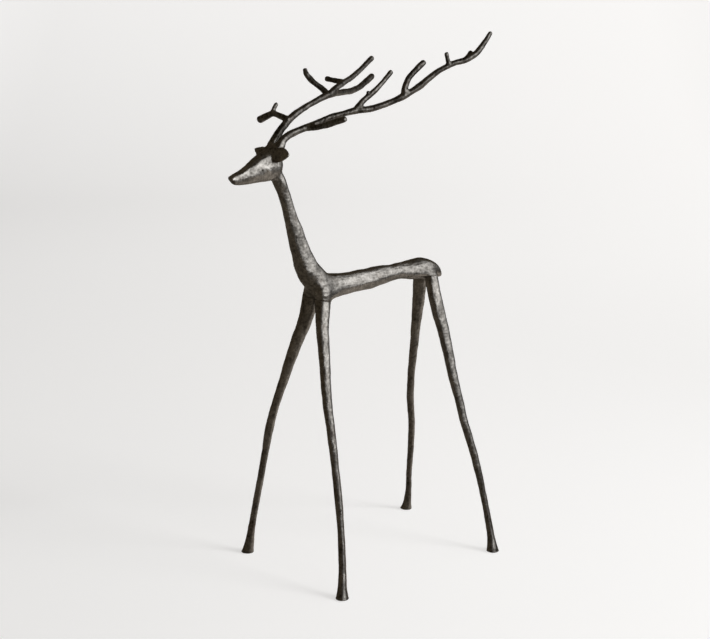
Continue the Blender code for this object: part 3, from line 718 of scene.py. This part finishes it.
def filled(points, edges, faces, share, rounds, soften):
    """Creases filled as with clay, where share is above 0: in each round, points that lie lower than
    their neighbours are raised by nine tenths of that, and every point moves by soften towards them."""
    chosen = np.unique(faces[(share[faces] > 0).any(axis=1)])
    number = np.full(len(points), -1)
    number[chosen] = np.arange(len(chosen))
    edges, faces = number[edges], number[faces]
    edges, faces = edges[(edges >= 0).all(axis=1)], faces[(faces >= 0).all(axis=1)]
    part, share = points[chosen], share[chosen]
    for _ in range(rounds):
        pull = pulls(part, edges)
        outward = normals(part, faces)
        hollow = np.clip((pull * outward).sum(axis=1), 0.0, None)
        part = part + outward * (hollow * share * 0.9)[:, None] + pull * (share * soften)[:, None]
    points = points.copy()
    points[chosen] = part
    return points


def random_at(cells, seed):
    """A number from -1 to 1 for each cell of a grid: its three counts and the seed times large odd
    numbers, whose bits are then stirred twice."""
    mixed = cells[..., 0] * 374761393 + cells[..., 1] * 668265263 + cells[..., 2] * 2147483647
    mixed = mixed + seed * 1274126177
    mixed = (mixed ^ (mixed >> 13)) * 1274126177 & 0xFFFFFFFF
    mixed = (mixed ^ (mixed >> 16)) & 0xFFFFFF
    return mixed / 0xFFFFFF * 2 - 1


def cloud(points, size, seed):
    """Smooth noise, from -1 to 1: random numbers on a grid of the given size, blended between cells."""
    place_in_grid = points / size
    cells = np.floor(place_in_grid).astype(np.int64)
    t = place_in_grid - cells
    t = t * t * t * (t * (t * 6 - 15) + 10)
    total = 0.0
    for corner in np.ndindex(2, 2, 2):
        weight = np.prod(np.where(np.array(corner) == 1, t, 1 - t), axis=1)
        total = total + weight * random_at(cells + np.array(corner), seed)
    return total


def relief(points, upright):
    """How far the surface stands out, in metres: broad dents of a thumb, the strokes of a tool that
    run along the limbs, and small pits. upright is the share of strokes that run up and down."""
    down = points * np.array([1.0, 1.0, STROKE_STRETCH])
    back = points * np.array([1.0, STROKE_STRETCH, 1.0])
    size, thumb_height = THUMB_DENTS
    thumb = cloud(down, size, 1) * upright + cloud(back, size, 2) * (1 - upright)
    size, stroke_height = TOOL_STROKES
    strokes = cloud(down, size, 3) * upright + cloud(back, size, 4) * (1 - upright)
    strokes = 1 - 2 * np.abs(strokes)
    size, pit_height = PITS
    return thumb_height * thumb + stroke_height * strokes + pit_height * cloud(points, size, 5)


def groove(points, start, end, width):
    """How deep a point lies in a groove drawn from start to end, from 0 to 1."""
    line = end - start
    share = np.clip((points - start) @ line / (line @ line), 0, 1)
    distance = np.linalg.norm(points - start - share[:, None] * line, axis=1)
    return np.exp(-((distance / width) ** 2))


def linked(name, data):
    """A new object of the scene, at the origin."""
    made = bpy.data.objects.new(name, data)
    bpy.context.collection.objects.link(made)
    return made


def finished(mesh, points, faces, carved, upright):
    """The casting with its relief and carving, as a piece that keeps how far each place stands out."""
    outward = normals(points, faces)
    raised = relief(points, upright)
    points = points + outward * (raised + carved)[:, None]
    mesh.vertices.foreach_set("co", points.ravel())
    heights = mesh.attributes.new("height", "FLOAT", "POINT")
    heights.data.foreach_set("value", (raised + carved) / MM)
    mesh.shade_smooth()
    mesh.update()
    piece = linked(mesh.name, mesh)
    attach(piece, "root")
    return piece


def linear(colour):
    """An sRGB hex colour as linear red, green, blue and alpha."""
    parts = np.array([int(colour[i:i + 2], 16) for i in (1, 3, 5)]) / 255
    return (*np.where(parts <= 0.04045, parts / 12.92, ((parts + 0.055) / 1.055) ** 2.4), 1.0)


def node(tree, kind, settings=(), **links):
    """A node of a kind with its settings and its inputs, each a value or another node's output. An input
    is named, or counted as in i0."""
    made = tree.nodes.new(kind)
    for name, value in dict(settings).items():
        setattr(made, name, value)
    for name, value in links.items():
        numbered = name[0] == "i" and name[1:].isdigit()
        socket = made.inputs[int(name[1:]) if numbered else name.replace("_", " ")]
        if isinstance(value, bpy.types.NodeSocket):
            tree.links.new(value, socket)
        else:
            socket.default_value = value
    return made


def new_tree(name):
    """A new material and its empty node tree."""
    material = bpy.data.materials.new(name)
    material.use_nodes = True
    material.node_tree.nodes.clear()
    return material, material.node_tree


def ramp(made, stops):
    """Colours set at their places along a Color Ramp node, the two at its ends first."""
    elements = made.color_ramp.elements
    for number, (position, colour) in enumerate(stops):
        element = elements[number] if number < 2 else elements.new(position)
        element.position = position
        element.color = linear(colour)


def patinated_cast_aluminium():
    """Sand-cast aluminium, worked by hand and given a dark bronze patina that is rubbed back on what
    stands proud: the eye sees a bare greyish sheen on ridges, brown-black in the hollows."""
    material, tree = new_tree("patinated_cast_aluminium")
    at = node(tree, "ShaderNodeTexCoord").outputs["Object"]
    height = node(tree, "ShaderNodeAttribute", {"attribute_name": "height"}).outputs["Fac"]
    # blotches of patina, broken up by brush strokes, and rubbed back where the metal stands out
    blotch = node(tree, "ShaderNodeTexNoise", Vector=at, Scale=1 / PATINA_BLOTCH, Detail=5.0, Roughness=0.62)
    stroke = node(tree, "ShaderNodeTexNoise", Vector=at, Scale=1 / BRUSH_STROKE, Detail=4.0, Roughness=0.6)
    worn = node(
        tree, "ShaderNodeMapRange", Value=height, From_Min=-0.45, From_Max=0.50, To_Min=-0.12, To_Max=0.38,
    )
    mottle = node(
        tree, "ShaderNodeMath", {"operation": "MULTIPLY_ADD"},
        i0=stroke.outputs["Fac"], i1=0.75, i2=worn.outputs["Result"],
    )
    bare = node(
        tree, "ShaderNodeMath", {"operation": "MULTIPLY_ADD"},
        i0=blotch.outputs["Fac"], i1=0.40, i2=mottle.outputs["Value"],
    )
    up = node(tree, "ShaderNodeSeparateXYZ", Vector=at).outputs["Z"]
    # painted shade on the antlers, and the legs darker towards the feet
    for low, high, at_low, at_high in PAINTED_ANTLER_SHADE_AND_DARKER_FEET:
        darker = node(
            tree, "ShaderNodeMapRange", Value=up, From_Min=low, From_Max=high, To_Min=at_low, To_Max=at_high,
        )
        bare = node(tree, "ShaderNodeMath", i0=bare.outputs["Value"], i1=darker.outputs["Result"])
    colour = node(tree, "ShaderNodeValToRGB", i0=bare.outputs["Value"])
    ramp(colour, [(0.30, "#3c3934"), (1.00, "#d2cfcb"), (0.50, "#6f6c68"), (0.72, "#a09d99")])
    # a few places keep a browner skin
    patch = node(tree, "ShaderNodeTexNoise", Vector=at, Scale=1 / BROWN_PATCH, Detail=3.0, Roughness=0.5)
    brown = node(
        tree, "ShaderNodeMapRange", Value=patch.outputs["Fac"], From_Min=0.58, From_Max=0.75,
        To_Min=0.0, To_Max=0.28,
    )
    skin = node(
        tree, "ShaderNodeMix", {"data_type": "RGBA"}, i0=brown.outputs["Result"],
        i6=colour.outputs["Color"], i7=linear("#6a5140"),
    )
    # bare metal is smoother than its skin
    rough = node(
        tree, "ShaderNodeMapRange", Value=bare.outputs["Value"], From_Min=0.3, From_Max=0.95,
        To_Min=0.36, To_Max=0.25,
    )
    grain = node(tree, "ShaderNodeTexNoise", Vector=at, Scale=1 / SAND_GRAIN, Detail=3.0, Roughness=0.55)
    bump = node(tree, "ShaderNodeBump", Height=grain.outputs["Fac"], Strength=0.35, Distance=GRAIN_DEPTH)
    shader = node(
        tree, "ShaderNodeBsdfPrincipled", Base_Color=skin.outputs[2], Roughness=rough.outputs["Result"],
        Normal=bump.outputs["Normal"], Metallic=1.0,
    )
    node(tree, "ShaderNodeOutputMaterial", Surface=shader.outputs["BSDF"])
    return material


def pale_studio_floor():
    """A matt pale sweep with painted light: it glows, more to one side, so that shadows stay faint."""
    material, tree = new_tree("pale_studio_floor")
    at = node(tree, "ShaderNodeTexCoord").outputs["Object"]
    painted_light_parts = []
    # painted light: the floor's glow rises towards the lit side and further back
    for way, (start, end), (dim, bright) in PAINTED_FLOOR_LIGHT:
        reach = node(tree, "ShaderNodeVectorMath", {"operation": "DOT_PRODUCT"}, i0=at, i1=way)
        part = node(
            tree, "ShaderNodeMapRange", Value=reach.outputs["Value"], From_Min=start, From_Max=end,
            To_Min=dim, To_Max=bright,
        )
        painted_light_parts.append(part.outputs["Result"])
    painted_floor_glow = node(tree, "ShaderNodeMath", i0=painted_light_parts[0], i1=painted_light_parts[1])
    matt = node(tree, "ShaderNodeBsdfDiffuse", Color=linear("#aaaaaa"))
    light = node(tree, "ShaderNodeEmission", Color=linear("#fdfcfb"), Strength=painted_floor_glow.outputs["Value"])
    both = node(tree, "ShaderNodeAddShader", i0=matt.outputs[0], i1=light.outputs[0])
    node(tree, "ShaderNodeOutputMaterial", Surface=both.outputs[0])
    return material


def lit_cloth():
    """The cloth of a long soft light: brightest about halfway up, fading to its foot and its two ends,
    and a little to its top."""
    material, tree = new_tree("lit_cloth")
    at = node(tree, "ShaderNodeTexCoord").outputs["UV"]
    axes = node(tree, "ShaderNodeSeparateXYZ", Vector=at)
    along, up = axes.outputs["X"], axes.outputs["Y"]
    full_from = node(
        tree, "ShaderNodeMapRange", Value=along,
        From_Min=CLOTH_LOW_FADE_SPAN[0], From_Max=CLOTH_LOW_FADE_SPAN[1],
        To_Min=CLOTH_LOW_FADE[0], To_Max=CLOTH_LOW_FADE[1],
    )
    foot = node(
        tree, "ShaderNodeMapRange", {"interpolation_type": "SMOOTHSTEP"}, Value=up,
        From_Min=0.0, From_Max=full_from.outputs["Result"],
    )
    behind = node(
        tree, "ShaderNodeMapRange", {"interpolation_type": "SMOOTHSTEP"}, Value=along,
        From_Min=1.0, From_Max=1.0 - CLOTH_END_FADE, To_Min=CLOTH_END_LIGHT,
    )
    in_front = node(
        tree, "ShaderNodeMapRange", {"interpolation_type": "SMOOTHSTEP"}, Value=along,
        From_Min=0.0, From_Max=CLOTH_NEAR_FADE,
    )
    bright = node(
        tree, "ShaderNodeMapRange", Value=up, From_Min=CLOTH_TOP_FROM, From_Max=1.0,
        To_Min=CLOTH_LIGHT, To_Max=CLOTH_LIGHT * CLOTH_TOP,
    ).outputs["Result"]
    for fade in (foot, behind, in_front):
        bright = node(
            tree, "ShaderNodeMath", {"operation": "MULTIPLY"}, i0=bright, i1=fade.outputs["Result"],
        ).outputs["Value"]
    light = node(tree, "ShaderNodeEmission", Color=linear("#fffefc"), Strength=bright)
    node(tree, "ShaderNodeOutputMaterial", Surface=light.outputs[0])
    return material


def off_seam(points):
    """From 0 at the rims where the body's stubs end, which stay crisp, to 1 a few millimetres away."""
    from_rim = np.full(len(points), 1.0)
    for stations, front, side in LEGS.values():
        rows = leg_stations(stations, front, side)
        axis = unit(rows[1, :3] - rows[0, :3])
        # counted from the seam's middle, with the seam's slope taken off again
        unsloped = points + (points - seam_turned(points, stations, front, side)) - rows[0, :3]
        down = unsloped @ axis
        aside = np.linalg.norm(unsloped - down[:, None] * axis, axis=1) - rows[0, 3]
        from_rim = np.minimum(from_rim, np.hypot(down, aside))
    return np.clip((from_rim - RIM_KEPT) / RIM_FADE, 0, 1)


def head_carving(points):
    """How far the carving on both sides of the head raises each point: a groove for each row."""
    carved = np.zeros(len(points))
    for _, start, end, width, depth in HEAD_CARVING:
        for side in (1, -1):
            first, last = (
                NECK_TOP + place(side * out * MM, forward * MM, up * MM) for out, forward, up in (start, end)
            )
            carved -= depth * MM * groove(points, first, last, width * MM)
    return carved


def body_and_antlers():
    """The body with both antlers: its forms fused, their forks filled, then relief and carving."""
    forms = [trunk_form(), head_form(), crown_form(), ear_form(1), ear_form(-1)]
    for seed, (stations, front, side) in enumerate(LEGS.values()):
        forms.append(stub_form(stations, front, side, seed))
    for side in (1, -1):
        forms.append(web_form(CHEST, SHOULDER_BLADE, side, 1.0))
        forms.append(web_form(CHEST, BELLY_WEB, side, 2.0))
        forms.append(web_form(RUMP_MIDDLE, HIP_BLADE, side, 3.0))
    forms.append(web_form(CHEST, BREAST_PAD, 1, 3.0))
    forms += antler_forms(LEFT_ANTLER, 1, LEFT_ANTLER_SWEEP)
    forms += antler_forms(RIGHT_ANTLER, -1, RIGHT_ANTLER_SWEEP)
    mesh = fused("body_and_antlers", forms)
    points, edges, faces = read(mesh)
    low_down = np.clip((FILL_TOP - points[:, 2]) / FILL_TOP_FADE, 0, 1)
    from_joint = np.minimum(
        np.linalg.norm(points - CHEST, axis=1), np.linalg.norm(points - RUMP_MIDDLE, axis=1)
    )
    at_joint = np.clip(JOINT_ENDS - from_joint / JOINT_FADE, 0, 1) * off_seam(points) * low_down
    points = filled(points, edges, faces, at_joint, FILL_ROUNDS, FILL_SOFTENING)
    points = filled(points, edges, faces, 1 - low_down, FORK_ROUNDS, 0.0)
    points = relaxed(points, edges, RELAX_ROUNDS)
    upright = np.clip((points[:, 2] - BACK_TOP) / BACK_TOP_FADE, 0, 1)
    return finished(mesh, points, faces, head_carving(points), upright)


def studio_floor():
    """A flat disc that curves up into a wall: rings that run out flat, then up a quarter circle."""
    radius = np.linspace(0.0, 1.0, FLOOR_RINGS)[:, None]
    turn = np.linspace(0.0, math.tau, FLOOR_SPOKES + 1)[None, :-1]
    run = radius * (FLAT_OUT + SWEEP_RADIUS * math.pi / 2)
    bend = np.clip((run - FLAT_OUT) / SWEEP_RADIUS, 0, math.pi / 2)
    out = np.minimum(run, FLAT_OUT) + SWEEP_RADIUS * np.sin(bend)
    rise = SWEEP_RADIUS * (1 - np.cos(bend))
    sweep = np.stack([out * np.cos(turn), out * np.sin(turn), rise + 0 * turn], axis=-1)[1:]
    count, sides = sweep.shape[:2]
    ring, spoke = np.meshgrid(np.arange(count - 1), np.arange(sides), indexing="ij")
    here, there, after = ring * sides, (ring + 1) * sides, (spoke + 1) % sides
    quads = np.stack([here + spoke, there + spoke, there + after, here + after], axis=-1).reshape(-1, 4)
    mesh = bpy.data.meshes.new("studio_floor")
    mesh.from_pydata(sweep.reshape(-1, 3).tolist(), [], quads.tolist() + [list(range(sides))])
    mesh.shade_smooth()
    mesh.materials.append(pale_studio_floor())
    floor = linked("studio_floor", mesh)
    floor.visible_glossy = False
    floor.visible_diffuse = False


def long_soft_light():
    """A lit cloth that stands upright on part of a circle round the figure's bright side."""
    turn = np.radians(np.linspace(*CLOTH_ENDS, CLOTH_COLUMNS))[:, None]
    rise = np.linspace(*CLOTH_HEIGHTS, CLOTH_ROWS)[None, :]
    out, back = CLOTH_AWAY * np.cos(turn) + 0 * rise, CLOTH_AWAY * np.sin(turn) + 0 * rise
    cloth = np.stack([out, back, rise + 0 * turn], axis=-1)
    column, row = np.meshgrid(np.arange(CLOTH_COLUMNS - 1), np.arange(CLOTH_ROWS - 1), indexing="ij")
    corner = column * CLOTH_ROWS + row
    quads = np.stack([corner, corner + 1, corner + CLOTH_ROWS + 1, corner + CLOTH_ROWS], axis=-1)
    quads = quads.reshape(-1, 4)
    mesh = bpy.data.meshes.new("long_soft_light")
    mesh.from_pydata(cloth.reshape(-1, 3).tolist(), [], quads.tolist())
    shares = np.meshgrid(np.linspace(0, 1, CLOTH_COLUMNS), np.linspace(0, 1, CLOTH_ROWS), indexing="ij")
    spread = np.stack(shares, axis=-1).reshape(-1, 2)
    mesh.uv_layers.new(name="cloth").data.foreach_set("uv", spread[quads.ravel()].ravel())
    mesh.materials.append(lit_cloth())
    soft_light = linked("long_soft_light", mesh)
    soft_light.visible_camera = False
    soft_light.visible_shadow = False


def low_lamp():
    """A low sun that the metal doesn't mirror, for the faint shadows on the floor."""
    sun = bpy.data.lights.new("low_lamp", "SUN")
    sun.energy = LAMP_LIGHT
    sun.angle = math.radians(LAMP_WIDTH)
    lamp = linked("low_lamp", sun)
    lamp.rotation_euler = (math.radians(90 - LAMP_RISE), 0.0, math.radians(LAMP_TURN))
    lamp.visible_glossy = False


def dim_warm_room():
    """What the metal mirrors: a dim warm room, and below it the pale floor, brighter on one side."""
    world = bpy.data.worlds.new("dim_warm_room")
    bpy.context.scene.world = world
    world.use_nodes = True
    tree = world.node_tree
    tree.nodes.clear()
    toward = node(tree, "ShaderNodeTexCoord").outputs["Generated"]
    axes = node(tree, "ShaderNodeSeparateXYZ", Vector=toward)
    along_floor = node(tree, "ShaderNodeCombineXYZ", X=axes.outputs["X"], Y=axes.outputs["Y"])
    level = node(tree, "ShaderNodeVectorMath", {"operation": "NORMALIZE"}, i0=along_floor.outputs["Vector"])
    way = math.radians(FLOOR_SEEN_WAY)
    facing = node(
        tree, "ShaderNodeVectorMath", {"operation": "DOT_PRODUCT"}, i0=level.outputs["Vector"],
        i1=(math.cos(way), math.sin(way), 0.0),
    )
    sideways = node(
        tree, "ShaderNodeMapRange", Value=facing.outputs["Value"], From_Min=FLOOR_SEEN_FROM, From_Max=1.0,
        To_Min=FLOOR_SEEN[0], To_Max=FLOOR_SEEN[1],
    )
    under = node(
        tree, "ShaderNodeMapRange", {"interpolation_type": "SMOOTHSTEP"}, Value=axes.outputs["Z"],
        From_Min=FLOOR_SEEN_BELOW[0], From_Max=FLOOR_SEEN_BELOW[1],
    )
    floor_part = node(
        tree, "ShaderNodeMath", {"operation": "MULTIPLY"},
        i0=sideways.outputs["Result"], i1=under.outputs["Result"],
    )
    room = node(tree, "ShaderNodeBackground", Color=linear("#ffe6be"), Strength=ROOM_LIGHT)
    seen_floor = node(
        tree, "ShaderNodeBackground", Color=linear("#fff6ec"), Strength=floor_part.outputs["Value"],
    )
    whole = node(
        tree, "ShaderNodeAddShader", i0=room.outputs["Background"], i1=seen_floor.outputs["Background"],
    )
    node(tree, "ShaderNodeOutputWorld", Surface=whole.outputs[0])


def camera_at_the_photograph():
    """The camera, with the photograph's frame and viewing angle."""
    lens = bpy.data.cameras.new("camera")
    lens.sensor_width = 36.0
    lens.lens = CAMERA_LENS
    lens.clip_end = 50.0
    camera = linked("camera", lens)
    camera.location = CAMERA_PLACE
    camera.rotation_euler = (math.radians(90 - CAMERA_DOWN), 0.0, math.radians(CAMERA_TURN))
    bpy.context.scene.camera = camera


# The castings
metal = patinated_cast_aluminium()
body = body_and_antlers()
body.data.materials.append(metal)
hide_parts("body", "left_antler", "right_antler")
for seed, (name, (stations, front, side)) in enumerate(LEGS.items(), 1):
    mesh = mesh_of(name + "_casting", [leg_form(stations, front, side, seed)])
    points, _, faces = read(mesh)
    leg = finished(mesh, points, faces, np.zeros(len(points)), 1.0)
    leg.data.materials.append(metal)
    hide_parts(name)

# The studio
studio_floor()
long_soft_light()
low_lamp()
dim_warm_room()
camera_at_the_photograph()
bpy.context.scene.view_settings.view_transform = "Standard"
